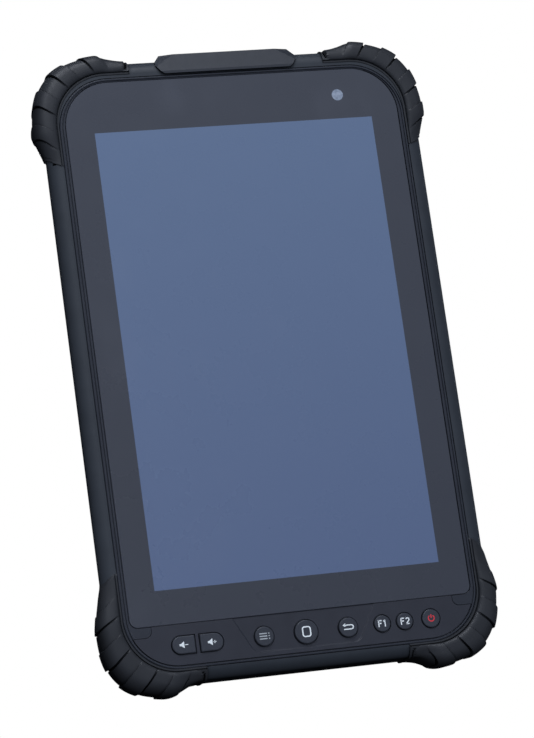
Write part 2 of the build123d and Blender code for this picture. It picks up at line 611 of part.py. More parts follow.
# ---------------------------------------------------------------- rear housing
with BuildPart() as rear_housing:
    with BuildSketch(front(parting_y)):
        body_outline()
    extrude(amount=parting_y - back_y)
    fillet(rear_housing.faces().sort_by(Axis.Y)[-1].edges(), edge_round)
    with BuildSketch(front(parting_y)):
        body_outline(side_wall)
    extrude(amount=parting_y - rear_inner, mode=Mode.SUBTRACT)
    # bosses for the housing screws, bumper screws and threaded inserts
    with BuildSketch(front(parting_y)):
        discs(housing_screws_at, boss_r)
        discs(bumper_screws_at, 2.6)
    extrude(amount=parting_y - rear_inner)
    add(body_envelope.part, mode=Mode.INTERSECT)
    with BuildSketch(front(back_y - insert_depth - 1.2)):
        discs(bracket_at + strap_at, 4.2)
    extrude(amount=back_y - insert_depth - 1.2 - rear_inner)
    with Locations(*from_back(housing_screws_at, back_y)):
        CounterBoreHole(screw_r + 0.1, screw_head_r + 0.2, screw_head_depth)
    with Locations(*from_back(bracket_at, back_y)):
        Hole(bracket_insert_r, insert_depth)
    with Locations(*from_back(strap_at, back_y)):
        Hole(strap_insert_r, insert_depth)
    with Locations(*from_back(bumper_screws_at, back_y)):
        Hole(bumper_screw_r, 6.0)
    # battery bay and the recess of its door
    box(-bay_w / 2, bay_w / 2, rear_inner - 1, back_y + 1, bay_bottom, bay_top)
    with BuildSketch(front(back_y)):
        door_outline(-0.2, 3.0)
    extrude(amount=door_t, mode=Mode.SUBTRACT)
    with BuildSketch(front(back_y - door_t)):
        door_outline(door_seal_inset, 2.5)
        door_outline(door_seal_inset + door_seal_w, 2.0, mode=Mode.SUBTRACT)
    extrude(amount=door_seal_t, mode=Mode.SUBTRACT)
    reach = door_tab_w / 2 + 0.2
    for x in door_tab_xs:
        box(x - reach, x + reach, ear_front - 0.05, ear_back + 0.1, door_bottom - 2.2, door_bottom)
    # latch pockets: ear, undercut for the latch's flange, and open mouth
    for side in (-1, 1):
        reach = ear_tab_w / 2 + 0.2
        x0, x1 = span(side, ear_tab_x - reach, ear_tab_x + reach)
        box(x0, x1, ear_front, ear_back + 0.25, door_top - 1, ear_tab_top + 0.2)
        x0, x1 = span(side, latch_x - latch_w / 2 - 0.2, latch_x + latch_w / 2 + latch_travel + 0.4)
        flange_reach, grip_reach = flange_h / 2 + fit, latch_h / 2 + fit
        box(x0, x1, latch_front - fit, latch_front + flange_t + fit, latch_z - flange_reach,
            latch_z + flange_reach)
        box(x0, x1, latch_front + flange_t, back_y + fit, latch_z - grip_reach, latch_z + grip_reach)
    # camera, flash and speaker openings
    with Locations(*from_back([(camera_x, camera_z)], back_y)):
        CounterBoreHole(camera_r - 1.4, camera_r + 0.1, window_recess)
    with Locations(*from_back([(flash_x, camera_z)], back_y)):
        CounterBoreHole(flash_r - 0.7, flash_r + 0.1, window_recess)
    with BuildSketch(front(back_y)):
        for i in range(slot_count):
            with Locations((speaker_x, speaker_z + slot_pitch * (i - (slot_count - 1) / 2))):
                SlotOverall(slot_w, slot_h)
    extrude(amount=rear_wall, mode=Mode.SUBTRACT)
    # dock contact opening
    box(-dock_w / 2, dock_w / 2, rear_inner - 1, back_y + 1, dock_z - dock_h / 2, dock_z + dock_h / 2)
    # ears and clearance for the port cover's hinge
    with BuildSketch(Plane.YZ.offset(-pin_half)):
        disc(pin_y, pin_z, ear_r)
    extrude(amount=2 * pin_half)
    with BuildSketch(Plane.YZ.offset(-barrel_half - 0.3)):
        with Locations((pin_y, pin_z)):
            Circle(barrel_r + 0.3)
        with Locations((pin_y - 2.5, pin_z + 2.3)):
            Rectangle(5.0, 3.4)
    extrude(amount=2 * barrel_half + 0.6, mode=Mode.SUBTRACT)
    with BuildSketch(Plane.YZ.offset(-pin_half)):
        disc(pin_y, pin_z, pin_r)
    extrude(amount=2 * pin_half, mode=Mode.SUBTRACT)
    add(port_bay.part, mode=Mode.SUBTRACT)
save(rear_housing, "rear_housing")

with BuildPart() as housing_screws:
    with BuildSketch(front(back_y - screw_head_depth)):
        discs(housing_screws_at, screw_head_r)
    extrude(amount=-1.6)
    with BuildSketch(front(back_y - 0.4)):
        with Locations(*housing_screws_at):
            RegularPolygon(1.1, 6)
    extrude(amount=0.9, mode=Mode.SUBTRACT)
    with BuildSketch(front(back_y - screw_head_depth)):
        discs(housing_screws_at, screw_r)
    extrude(amount=screw_length)
save(housing_screws, "housing_screws")

# ---------------------------------------------------------------- battery door, its seal and latches
with BuildPart() as battery_door:
    with BuildSketch(front(back_y - door_t)):
        door_outline(0.0, 2.8)
    extrude(amount=-door_t)
    chamfer(battery_door.faces().sort_by(Axis.Y)[-1].edges(), 0.3)
    for x in door_tab_xs:
        box(x - door_tab_w / 2, x + door_tab_w / 2, ear_front, ear_back, door_bottom - 2.0, door_bottom + 1,
            mode=Mode.ADD)
    for side in (-1, 1):
        x0, x1 = span(side, ear_tab_x - ear_tab_w / 2, ear_tab_x + ear_tab_w / 2)
        box(x0, x1, ear_front, ear_back, door_top - 1, ear_tab_top, mode=Mode.ADD)
    # raised grip ribs across the lower part of the door
    for i in range(rib_count):
        z = rib_z + rib_pitch * i
        box(-rib_w / 2, rib_w / 2, back_y, back_y + 0.5, z, z + rib_h, mode=Mode.ADD)
save(battery_door, "battery_door")

with BuildPart() as battery_seal:
    with BuildSketch(front(back_y - door_t - door_seal_t)):
        door_outline(door_seal_inset + 0.05, 2.45)
        door_outline(door_seal_inset + door_seal_w - 0.05, 2.05, mode=Mode.SUBTRACT)
    extrude(amount=-door_seal_t)
save(battery_seal, "battery_seal")

for side, name in ((-1, "battery_latch_left"), (1, "battery_latch_right")):
    with BuildPart() as latch:
        centre = side * latch_x
        x0, x1 = centre - latch_w / 2, centre + latch_w / 2
        box(x0, x1, latch_front, latch_front + flange_t, latch_z - flange_h / 2, latch_z + flange_h / 2,
            mode=Mode.ADD)
        box(x0, x1, latch_front + flange_t, latch_back, latch_z - latch_h / 2, latch_z + latch_h / 2,
            mode=Mode.ADD)
        for i in range(4):
            x = centre + 2.4 * (i - 1.5)
            box(x - 0.5, x + 0.5, latch_back, grip_back, latch_z - 2.4, latch_z + 2.4, mode=Mode.ADD)
    save(latch, name)

# ---------------------------------------------------------------- camera window, flash lens, dock, inserts
with BuildPart() as camera_window:
    with BuildSketch(front(back_y - window_recess)):
        disc(camera_x, camera_z, camera_r)
    extrude(amount=-0.8)
save(camera_window, "camera_window")

with BuildPart() as flash_lens:
    with BuildSketch(front(back_y - window_recess)):
        disc(flash_x, camera_z, flash_r)
    extrude(amount=-0.8)
save(flash_lens, "flash_lens")

with BuildPart() as dock_block:
    with BuildSketch(front(rear_inner)):
        with Locations((0, dock_z)):
            Rectangle(dock_w - 0.1, dock_h - 0.1)
        discs(contacts_at, contact_r, mode=Mode.SUBTRACT)
    extrude(amount=-(rear_wall - 0.6))
    with BuildSketch(front(rear_inner)):
        with Locations((0, dock_z)):
            Rectangle(dock_w + 4.0, dock_h + 2.0)
    extrude(amount=1.0)
save(dock_block, "dock_block")

with BuildPart() as dock_contacts:
    with BuildSketch(front(rear_inner)):
        discs(contacts_at, contact_r)
    extrude(amount=-(rear_wall - 0.4))
save(dock_contacts, "dock_contacts")

with BuildPart() as bracket_inserts:
    with BuildSketch(front(back_y)):
        discs(bracket_at, bracket_insert_r)
        discs(bracket_at, bracket_r, mode=Mode.SUBTRACT)
    extrude(amount=insert_depth)
save(bracket_inserts, "bracket_inserts")

with BuildPart() as strap_inserts:
    with BuildSketch(front(back_y)):
        discs(strap_at, strap_insert_r)
        discs(strap_at, strap_r, mode=Mode.SUBTRACT)
    extrude(amount=insert_depth)
save(strap_inserts, "strap_inserts")

# ---------------------------------------------------------------- port cover and its pin
cover_inner_top = body_top + cover_gap


def facet_plane(side):
    """Plane of the slanting facet at one end of the cover's face."""
    top = Vector(side * cover_facet_x, cover_crown_y, cover_top)
    low = Vector(side * cover_facet_low_x, cover_front, cover_lip_bottom + 2.6)
    tip = Vector(side * cover_w / 2, cover_crown_y - 0.3, cover_top - 3.0)
    outward = (low - top).cross(tip - top).normalized()
    if outward.Y > 0:
        outward = -outward
    return Plane(origin=(top + low) / 2, x_dir=low - top, z_dir=outward)



with BuildPart() as port_cover:
    with BuildSketch(Plane.YZ.offset(-cover_w / 2)):
        with BuildLine():
            arc_centre_y, arc_centre_z = front_y + edge_round, body_top - edge_round
            Polyline((cover_heel, cover_inner_top), (cover_heel, cover_top), (cover_crown_y, cover_top),
                     (cover_front, cover_lip_bottom + 1.0), (cover_front, cover_lip_bottom),
                     (front_y - cover_gap, cover_lip_bottom), (front_y - cover_gap, arc_centre_z))
            RadiusArc((front_y - cover_gap, arc_centre_z), (arc_centre_y, cover_inner_top),
                      edge_round + cover_gap)
            Line((arc_centre_y, cover_inner_top), (cover_heel, cover_inner_top))
        make_face()
    extrude(amount=cover_w)
    # ends seen from the front: rounded lower corners, cut upper corners
    with BuildSketch(front(bumper_t)) as ends:
        with BuildLine():
            Polyline((-24.9, cover_lip_bottom - 0.1), (24.9, cover_lip_bottom - 0.1), (27.3, 235.4),
                     (27.3, 237.4), (25.0, cover_top + 0.1), (-25.0, cover_top + 0.1), (-27.3, 237.4),
                     (-27.3, 235.4), close=True)
        make_face()
        fillet(ends.vertices().group_by(Axis.Y)[0], 3.0)
        fillet(ends.vertices().filter_by_position(Axis.Y, 235.3, 235.5), 2.0)
    extrude(amount=2 * bumper_t, mode=Mode.INTERSECT, both=True)
    # slanting facet on the face at each end
    for side in (-1, 1):
        with BuildSketch(facet_plane(side)):
            Rectangle(30.0, 12.0)
        extrude(amount=3.0, mode=Mode.SUBTRACT)
    # hinge barrel and the web that joins it
    with BuildSketch(Plane.YZ.offset(-barrel_half)):
        disc(pin_y, pin_z, barrel_r)
    with BuildSketch(Plane.YZ.offset(-barrel_half)):
        with BuildLine():
            Polyline((4.5, 238.7), (4.5, cover_top), (6.6, cover_top - 0.4), (pin_y, pin_z + barrel_r),
                     (pin_y - 1.0, pin_z + 0.9), (pin_y - 1.4, 238.7), close=True)
        make_face()
    extrude(amount=2 * barrel_half)
    with BuildSketch(Plane.YZ.offset(-barrel_half)):
        disc(pin_y, pin_z, pin_r + pin_clearance)
    extrude(amount=2 * barrel_half, mode=Mode.SUBTRACT)
    # plug that fills the mouth of the port bay
    box(-port_w / 2 + 1.0, port_w / 2 - 1.0, port_front + 0.6, port_back - 1.2, port_top + 0.1,
        cover_inner_top, mode=Mode.ADD)
save(port_cover, "port_cover")

with BuildPart() as port_cover_pin:
    with BuildSketch(Plane.YZ.offset(-pin_half)):
        disc(pin_y, pin_z, pin_r)
    extrude(amount=2 * pin_half)
save(port_cover_pin, "port_cover_pin")


# ---------------------------------------------------------------- corner bumpers
def corner_bumper(side, upper):
    """Rubber guard that grips one corner of the body; side is -1 left and +1 right."""
    up = 1 if upper else -1
    arc_z, inner_z = upper_arcs_z if upper else lower_arcs_z
    rail_z = (body_top if upper else body_bottom) + up * bumper_skin
    side_end_z = upper_side_end if upper else lower_side_end
    side_x = side * (body_w / 2 + bumper_skin)
    end_x, outer_x = side * bumper_end_x, side * (bumper_x + bumper_r)
    inner_top = (side * inner_x, inner_z + up * inner_r)
    inner_side = (side * (inner_x + inner_r), inner_z)
    outer_top = (side * bumper_x, arc_z + up * bumper_r)
    with BuildPart() as guard:
        with BuildSketch(front(-bumper_t / 2)):
            with BuildLine():
                Polyline(inner_top, (end_x, inner_top[1]), (end_x, rail_z),
                         (side * bumper_hump_x, arc_z + up * bumper_hump), outer_top)
                RadiusArc(outer_top, (outer_x, arc_z), side * up * bumper_r)
                Polyline((outer_x, arc_z), (outer_x, arc_z - up * bumper_straight), (side_x, side_end_z),
                         (inner_side[0], side_end_z), inner_side)
                RadiusArc(inner_side, inner_top, -side * up * inner_r)
            make_face()
        extrude(amount=-bumper_t)
        centre = Vector(side * bumper_x, 0, arc_z)
        rims = guard.edges().filter_by(lambda e: abs((e @ 0.5).Y) > bumper_t / 2 - 0.01)
        spread = inner_r + bumper_edge - 0.5
        outer = rims.filter_by(lambda e: ((e @ 0.5) - centre - Vector(0, (e @ 0.5).Y, 0)).length > spread)
        fillet(outer, bumper_edge)
        add(body_envelope.part, mode=Mode.SUBTRACT)
        with Locations(*from_back(bumper_screws_at, bumper_t / 2)):
            CounterBoreHole(bumper_screw_r + 0.05, bumper_head_r + 0.05, bumper_head_depth, depth=6.0)
        if not upper:
            box(-body_w, body_w, -bumper_t, bumper_t, -bumper_edge, 0.0)
    return guard


for side, upper, name in ((-1, True, "bumper_top_left"), (1, True, "bumper_top_right"),
                          (-1, False, "bumper_bottom_left"), (1, False, "bumper_bottom_right")):
    save(corner_bumper(side, upper), name)

with BuildPart() as bumper_screws:
    with BuildSketch(front(bumper_t / 2 - bumper_head_depth)):
        discs(bumper_screws_at, bumper_head_r)
    extrude(amount=-0.8)
    with BuildSketch(front(bumper_t / 2 - bumper_head_depth)):
        discs(bumper_screws_at, bumper_screw_r)
    extrude(amount=5.5)
save(bumper_screws, "bumper_screws")
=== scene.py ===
"""Looks for a rugged eight-inch data collector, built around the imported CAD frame.

Lengths are millimetres unless a name says otherwise; the mesh builders turn them into metres.
+X is the user's right, +Y runs from the glass to the back and +Z is up.
"""
import json
import math

import bmesh
import bpy
from mathutils import Matrix, Vector


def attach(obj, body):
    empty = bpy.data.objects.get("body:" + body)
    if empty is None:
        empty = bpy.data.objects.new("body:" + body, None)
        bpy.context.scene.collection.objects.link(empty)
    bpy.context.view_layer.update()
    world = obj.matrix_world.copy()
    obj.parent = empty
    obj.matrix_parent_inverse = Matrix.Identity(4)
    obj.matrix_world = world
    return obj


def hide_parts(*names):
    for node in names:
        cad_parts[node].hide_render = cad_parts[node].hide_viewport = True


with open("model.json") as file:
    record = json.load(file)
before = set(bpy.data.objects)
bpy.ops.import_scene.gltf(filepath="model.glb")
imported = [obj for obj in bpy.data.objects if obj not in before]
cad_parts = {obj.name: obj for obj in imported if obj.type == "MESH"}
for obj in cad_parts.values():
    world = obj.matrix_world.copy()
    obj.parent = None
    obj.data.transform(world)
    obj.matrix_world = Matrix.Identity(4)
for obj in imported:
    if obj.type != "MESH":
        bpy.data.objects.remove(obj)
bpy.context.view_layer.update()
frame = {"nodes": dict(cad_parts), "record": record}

MM = 0.001
screen_z = 124.5                    # height of the display's centre
display_half_w, display_half_h = 53.85, 86.15
glass_y = -10.5
key_z, key_y = 17.9, -11.2
key_x = {"key_volume_down": -45.85, "key_volume_up": -35.4, "key_menu": -15.8, "key_home": 0.0,
         "key_back": 15.9, "key_f1": 28.9, "key_f2": 37.5, "key_power": 47.6}


# ---------------------------------------------------------------- shader building
def tone(red, green, blue):
    """A display colour, 0 to 255, as the linear values that shader nodes take."""
    def linear(value):
        value /= 255
        return value / 12.92 if value <= 0.04045 else ((value + 0.055) / 1.055) ** 2.4
    return linear(red), linear(green), linear(blue), 1.0


def scaled(colour, share):
    """A colour made lighter or darker."""
    return tuple(channel * share for channel in colour[:3]) + (1.0,)


class Shader:
    """One material's node tree; every method adds nodes and returns the socket to use next."""

    def __init__(self, name):
        self.material = bpy.data.materials.new(name)
        self.material.use_nodes = True
        self.tree = self.material.node_tree
        self.surface = self.tree.nodes["Principled BSDF"]
        self.place = self.add("ShaderNodeTexCoord").outputs["Object"]

    def add(self, kind, inputs=None, **settings):
        made = self.tree.nodes.new(kind)
        for key, value in settings.items():
            setattr(made, key, value)
        for key, value in (inputs or {}).items():
            self.feed(made.inputs[key], value)
        return made

    def feed(self, socket, value):
        if isinstance(value, bpy.types.NodeSocket):
            self.tree.links.new(value, socket)
        else:
            socket.default_value = value

    def noise(self, size, detail=4.0, roughness=0.55, stretch=(1, 1, 1)):
        """Noise whose blobs are about size millimetres across."""
        place = self.place
        if stretch != (1, 1, 1):
            place = self.add("ShaderNodeMapping", {"Vector": place, "Scale": stretch}).outputs[0]
        inputs = {"Vector": place, "Scale": 1 / (size * MM), "Detail": detail, "Roughness": roughness}
        return self.add("ShaderNodeTexNoise", inputs).outputs[0]

    def grit(self, size):
        """Cells about size millimetres across, for moulded texture."""
        inputs = {"Vector": self.place, "Scale": 1 / (size * MM)}
        return self.add("ShaderNodeTexVoronoi", inputs).outputs["Distance"]

    def calculate(self, operation, *values):
        made = self.add("ShaderNodeMath", operation=operation)
        for socket, value in zip(made.inputs, values):
            self.feed(socket, value)
        return made.outputs[0]

    def spread(self, value, low, high, to_low=0.0, to_high=1.0, smooth=False):
        """Maps a value from one range to another and clamps it."""
        inputs = {"Value": value, "From Min": low, "From Max": high, "To Min": to_low, "To Max": to_high}
        kind = "SMOOTHSTEP" if smooth else "LINEAR"
        return self.add("ShaderNodeMapRange", inputs, interpolation_type=kind).outputs[0]

    def mix(self, share, first, second):
        made = self.add("ShaderNodeMix", data_type="RGBA")
        for socket, value in zip((made.inputs[0], made.inputs[6], made.inputs[7]), (share, first, second)):
            self.feed(socket, value)
        return made.outputs[2]

    def axis(self, letter):
        """Position along one axis, in metres."""
        return self.add("ShaderNodeSeparateXYZ", {0: self.place}).outputs[letter]

    def edges(self, radius):
        """Softened normal, and a mask: 1 on sharp edges, 0 on flat ground, broken up as rubbing is."""
        bevel = self.add("ShaderNodeBevel", {"Radius": radius * MM}, samples=4).outputs[0]
        flat = self.add("ShaderNodeNewGeometry").outputs["Normal"]
        turned = self.add("ShaderNodeVectorMath", {0: bevel, 1: flat}, operation="DOT_PRODUCT")
        mask = self.spread(turned.outputs["Value"], 0.995, 0.85)
        return bevel, self.calculate("MULTIPLY", mask, self.spread(self.noise(2.6, 5.0), 0.35, 0.65))

    def bump(self, height, distance, strength=1.0, normal=None):
        """Relief of distance millimetres; an earlier bump's output may be passed in."""
        inputs = {"Height": height, "Distance": distance * MM, "Strength": strength}
        if normal is not None:
            inputs["Normal"] = normal
        return self.add("ShaderNodeBump", inputs).outputs[0]

    def set(self, **sockets):
        for name, value in sockets.items():
            self.feed(self.surface.inputs[name.replace("_", " ")], value)
        return self.material


def moulded(name, colour, roughness, grain=0.18, grain_height=0.012, wear=0.5, sheen=0.0, sparkle=0.0,
            edge_radius=0.18, gloss=0.3, painted_crevice_shade=0.0):
    """Moulded rubber or plastic: mottled colour, fine grain, streaks, rubbed edges, and painted shade that
    darkens crevices.
    """
    s = Shader(name)
    mottle = s.spread(s.noise(7.0, 3.0), 0.3, 0.7)
    cloud = s.spread(s.noise(28.0, 2.0), 0.3, 0.7)
    base = s.mix(mottle, scaled(colour, 0.93), scaled(colour, 1.07))
    base = s.mix(s.calculate("MULTIPLY", cloud, 0.35), base, scaled(colour, 1.16))
    softened, edge = s.edges(edge_radius)
    rubbed = s.calculate("MULTIPLY", edge, wear)
    base = s.mix(rubbed, base, scaled(colour, 1.9))
    streaks = s.noise(1.4, 4.0, stretch=(1, 1, 0.35))
    rough = s.spread(streaks, 0.3, 0.7, roughness - 0.05, roughness + 0.06)
    rough = s.calculate("SUBTRACT", rough, s.calculate("MULTIPLY", rubbed, 0.12))
    rough = s.calculate("ADD", rough, s.calculate("MULTIPLY", s.calculate("SUBTRACT", cloud, 0.5), 0.06))
    relief = s.bump(s.noise(grain, 2.0), grain_height, normal=softened)
    relief = s.bump(s.noise(grain * 9, 3.0), grain_height * 1.5, normal=relief)
    if sparkle:
        relief = s.bump(s.grit(sparkle), grain_height * 2, normal=relief)
    if sheen:
        s.set(Sheen_Weight=sheen, Sheen_Roughness=0.45, Sheen_Tint=scaled(colour, 3.0))
    if painted_crevice_shade:
        # Painted shade: colour darkened and gloss lowered where ambient occlusion finds nearby surfaces, in
        # crevices and gaps.
        unshaded_share = s.add("ShaderNodeAmbientOcclusion", {"Distance": painted_crevice_shade * MM}, samples=6)
        unshaded_share = s.spread(unshaded_share.outputs["AO"], 0.45, 0.95)
        base = s.mix(unshaded_share, scaled(colour, 0.1), base)
        gloss = s.calculate("MULTIPLY", unshaded_share, gloss)
    return s.set(Base_Color=base, Roughness=rough, Normal=relief, Specular_IOR_Level=gloss)


def metal(name, colour, roughness, brushed=0.12, cast=False):
    """Plated, turned or cast metal with fine brushing or pitting and a little tarnish."""
    s = Shader(name)
    tarnish = s.spread(s.noise(3.0, 5.0), 0.35, 0.7)
    base = s.mix(tarnish, colour, scaled(colour, 0.72))
    lines = s.noise(brushed, 2.0, stretch=(1, 1, 1) if cast else (0.12, 1, 1))
    rough = s.spread(lines, 0.25, 0.75, roughness - 0.07, roughness + 0.1)
    relief = s.bump(lines, 0.01 if cast else 0.003)
    return s.set(Base_Color=base, Metallic=1.0, Roughness=rough, Normal=relief)


def cover_glass():
    """Strengthened glass: printed dark border and lit display area, both painted lighter towards the top as
    light from above, faint finger marks and a clear face.
    """
    s = Shader("cover_glass")
    # Painted light: the border and the display area are both lighter towards the top, as if lit from above.
    border_with_painted_light = s.mix(s.spread(s.axis("Z"), 0.03, 0.23), tone(51, 54, 62), tone(56, 59, 67))
    screen_with_painted_light = s.mix(s.spread(s.axis("Z"), 0.04, 0.21), tone(76, 89, 116), tone(82, 97, 122))
    across = s.calculate("ABSOLUTE", s.axis("X"))
    along = s.calculate("ABSOLUTE", s.calculate("SUBTRACT", s.axis("Z"), screen_z * MM))
    front = s.calculate("LESS_THAN", s.axis("Y"), -9.0 * MM)
    inside = s.calculate("LESS_THAN", across, display_half_w * MM)
    inside = s.calculate("MULTIPLY", inside, s.calculate("LESS_THAN", along, display_half_h * MM))
    inside = s.calculate("MULTIPLY", inside, front)
    base = s.mix(inside, border_with_painted_light, screen_with_painted_light)
    smudge = s.spread(s.noise(38.0, 2.0), 0.5, 0.8, smooth=True)
    wipe = s.spread(s.noise(12.0, 3.0, stretch=(1.0, 1.0, 0.3)), 0.3, 0.9, smooth=True)
    marks = s.calculate("MULTIPLY", smudge, wipe)
    base = s.mix(s.calculate("MULTIPLY", marks, 0.07), base, tone(112, 118, 130))
    rough = s.spread(s.noise(14.0, 4.0), 0.3, 0.7, 0.24, 0.34)
    ripple = s.bump(s.noise(60.0, 1.0), 0.02)
    return s.set(Base_Color=base, Roughness=rough, Normal=ripple, Coat_Weight=0.35, Coat_Roughness=0.12,
                 Specular_IOR_Level=0.3)


def lens(name, colour, ring, radius):
    """A small coated lens: base colour mottled with a paler coating, and fine dust."""
    s = Shader(name)
    coat = s.mix(s.spread(s.noise(1.2, 3.0), 0.35, 0.65), colour, ring)
    dust = s.spread(s.grit(0.25), 0.02, 0.06, 1.0, 0.0)
    base = s.mix(s.calculate("MULTIPLY", dust, 0.2), coat, tone(150, 152, 158))
    relief = s.bump(s.noise(radius, 1.0), 0.02)
    return s.set(Base_Color=base, Roughness=s.spread(s.noise(2.0), 0.3, 0.7, 0.12, 0.26), Normal=relief,
                 Coat_Weight=0.8, Coat_Roughness=0.05)


def circuit_board():
    """Green solder mask over copper tracks."""
    s = Shader("circuit_board")
    bricks = {"Vector": s.place, "Scale": 160.0, "Mortar Size": 0.06}
    tracks = s.add("ShaderNodeTexBrick", bricks).outputs["Fac"]
    mask = s.mix(s.noise(5.0), (0.012, 0.11, 0.05, 1), (0.02, 0.17, 0.08, 1))
    base = s.mix(tracks, mask, (0.05, 0.24, 0.11, 1))
    return s.set(Base_Color=base, Roughness=s.spread(s.noise(2.0), 0.3, 0.7, 0.3, 0.42),
                 Normal=s.bump(tracks, 0.03))


def display_module():
    """The display's face: fine pixel rows under a soft blue light."""
    s = Shader("display")
    rows = s.add("ShaderNodeTexWave", {"Vector": s.place, "Scale": 900.0}, bands_direction="Z").outputs["Fac"]
    base = s.mix(s.noise(20.0), tone(84, 100, 134), tone(94, 112, 148))
    base = s.mix(s.calculate("MULTIPLY", rows, 0.1), base, tone(60, 72, 100))
    return s.set(Base_Color=base, Roughness=s.spread(s.noise(6.0), 0.3, 0.7, 0.3, 0.4))


def printed(name, colour):
    """Legend ink or moulded legend plastic: dense colour with small voids and soft wear."""
    s = Shader(name)
    worn = s.spread(s.noise(0.5, 4.0), 0.3, 0.75)
    base = s.mix(worn, colour, scaled(colour, 0.72))
    return s.set(Base_Color=base, Roughness=s.spread(s.noise(0.8), 0.3, 0.7, 0.4, 0.55),
                 Normal=s.bump(s.noise(0.15), 0.01))


def contact_gold():
    return metal("gold_contact", (0.83, 0.62, 0.27, 1), 0.24)


materials = {
    # soft_black, bumper_rubber and cover_rubber carry painted shade in their crevices and gaps.
    "soft_black": moulded("soft_black", tone(42, 46, 52), 0.46, 0.16, 0.008, wear=0.25, painted_crevice_shade=1.6),
    "bumper_rubber": moulded("bumper_rubber", tone(38, 40, 44), 0.46, 0.2, 0.010, wear=0.0, painted_crevice_shade=1.2),
    "cover_rubber": moulded("cover_rubber", tone(39, 42, 48), 0.46, 0.2, 0.010, wear=0.22, painted_crevice_shade=1.2),
    "rear_plastic": moulded("rear_plastic", tone(42, 44, 49), 0.55, 0.3, 0.03, wear=0.4, sparkle=0.45),
    "bezel_plastic": moulded("bezel_plastic", tone(39, 42, 49), 0.36, 0.14, 0.005, wear=0.2),
    "panel_plastic": moulded("panel_plastic", tone(41, 43, 50), 0.42, 0.14, 0.006, wear=0.15),
    "key_plastic": moulded("key_plastic", tone(46, 49, 56), 0.38, 0.12, 0.005, wear=0.3, edge_radius=0.3),
    "latch_plastic": moulded("latch_plastic", tone(56, 58, 63), 0.45, 0.2, 0.012, wear=0.6),
    "cover_glass": cover_glass(),
    "foam": moulded("foam", tone(40, 40, 41), 0.85, 0.4, 0.08, wear=0.0),
    "display": display_module(),
    "camera_black": lens("camera_black", tone(18, 18, 22), tone(34, 30, 48), 3.0),
    "magnesium": metal("magnesium", (0.58, 0.59, 0.61, 1), 0.45, 0.5, cast=True),
    "circuit_board": circuit_board(),
    "steel": metal("steel", (0.55, 0.55, 0.56, 1), 0.3),
    "black_steel": metal("black_steel", (0.055, 0.055, 0.06, 1), 0.38),
    "silicone": moulded("silicone", tone(84, 84, 88), 0.6, 0.2, 0.01, wear=0.1, sheen=0.1),
    "battery_wrap": moulded("battery_wrap", tone(62, 68, 84), 0.4, 0.3, 0.008, wear=0.2),
    "connector_black": moulded("connector_black", tone(36, 36, 38), 0.5, 0.2, 0.01, wear=0.3),
    "lens_plastic": lens("lens_plastic", tone(226, 222, 200), tone(240, 236, 220), 1.0),
    "ceramic_patch": moulded("ceramic_patch", tone(226, 220, 206), 0.5, 0.2, 0.01, wear=0.1),
    "insert_brass": metal("insert_brass", (0.70, 0.53, 0.25, 1), 0.32, 0.2),
    "gold_contact": contact_gold(),
}
legend_white = printed("legend_white", tone(205, 212, 216))
legend_dim = printed("legend_dim", tone(150, 156, 162))
legend_red = printed("legend_red", tone(190, 52, 62))
camera_glass = lens("camera_glass", tone(104, 114, 130), tone(128, 138, 154), 1.5)

for part in frame["record"]["subparts"]:
    node = frame["nodes"][part["node"]]
    node.data.materials.clear()
    node.data.materials.append(materials[part["material_slot"]])


# ---------------------------------------------------------------- mesh helpers
def new_piece(name, mesh, material, body):
    """Makes an object from a bmesh given in millimetres and lets it ride on a CAD body."""
    bmesh.ops.scale(mesh, vec=(MM, MM, MM), verts=mesh.verts)
    bmesh.ops.recalc_face_normals(mesh, faces=mesh.faces)
    data = bpy.data.meshes.new(name)
    mesh.to_mesh(data)
    mesh.free()
    data.materials.append(material)
    piece = bpy.data.objects.new(name, data)
    bpy.context.scene.collection.objects.link(piece)
    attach(piece, body)
    return piece


def smooth_below(piece, degrees):
    """Smooth shading, kept sharp where faces meet at more than an angle."""
    for face in piece.data.polygons:
        face.use_smooth = True
    piece.data.set_sharp_from_angle(angle=math.radians(degrees))


def smoothstep(value, low, high):
    share = min(1.0, max(0.0, (value - low) / (high - low)))
    return share * share * (3 - 2 * share)


# ---------------------------------------------------------------- corner bumpers
inner_r = 20.0                          # radius of the inner edge
path_r = 24.0                           # radius that path lengths are taken at
corner_x = 47.7                         # centre of the corner arcs
arc_end = path_r * math.pi / 2
crest, crest_y = 2.8, 12.0              # distance of the front crest from the inner edge, and its depth
squareness = 3.2                        # superellipse power of the bulge's section
skin = 0.3                              # thickness where a bumper lies flat on the body
flange = 0.8                            # flat strip inside the inner edge
seam_depth = 0.05                       # how far the seam along the inner edge cuts under the body's face
wall_foot = 0.14                        # distance of the bulge's inner wall from the inner edge
body_edge = 5.0                         # rounding of the body's edges
body_front, body_back = 10.4, 10.5      # depths of the body's faces
side_lean, lean_y = 0.22, -5.4          # how the body's long sides lean in behind their front rounding
bulge_lean, rail_lean = 0.13, 0.04      # how the bulge leans in towards the back, at the side and the rail
lip_end = 1.3                           # thin lip that runs on past each end of the bulge
lip_rise = 0.3                          # height of that lip
gutter_w, gutter_drop = 0.4, 0.22       # gutter between the lip and the bulge
nose_round, nose_reach = 2.4, 2.6       # rounding of the rail end's inner corner: along and across
pad_count = 4                           # raised pads on one bumper
step_half = 0.13                        # half the width of a step between levels
low_share = 0.87                        # height of the ground between the raised pads
groove_share = 0.13                     # further cut where a pad drops towards the floor side
fan, fan_middle = 0.25, arc_end / 2     # how fast the pads fan out from the corner's middle
back_delay = 5.0                        # how much later the side end swells on the back
wall_steps, bulge_steps = 6, 14         # rows of the bulge's inner wall, and from its crest to its middle


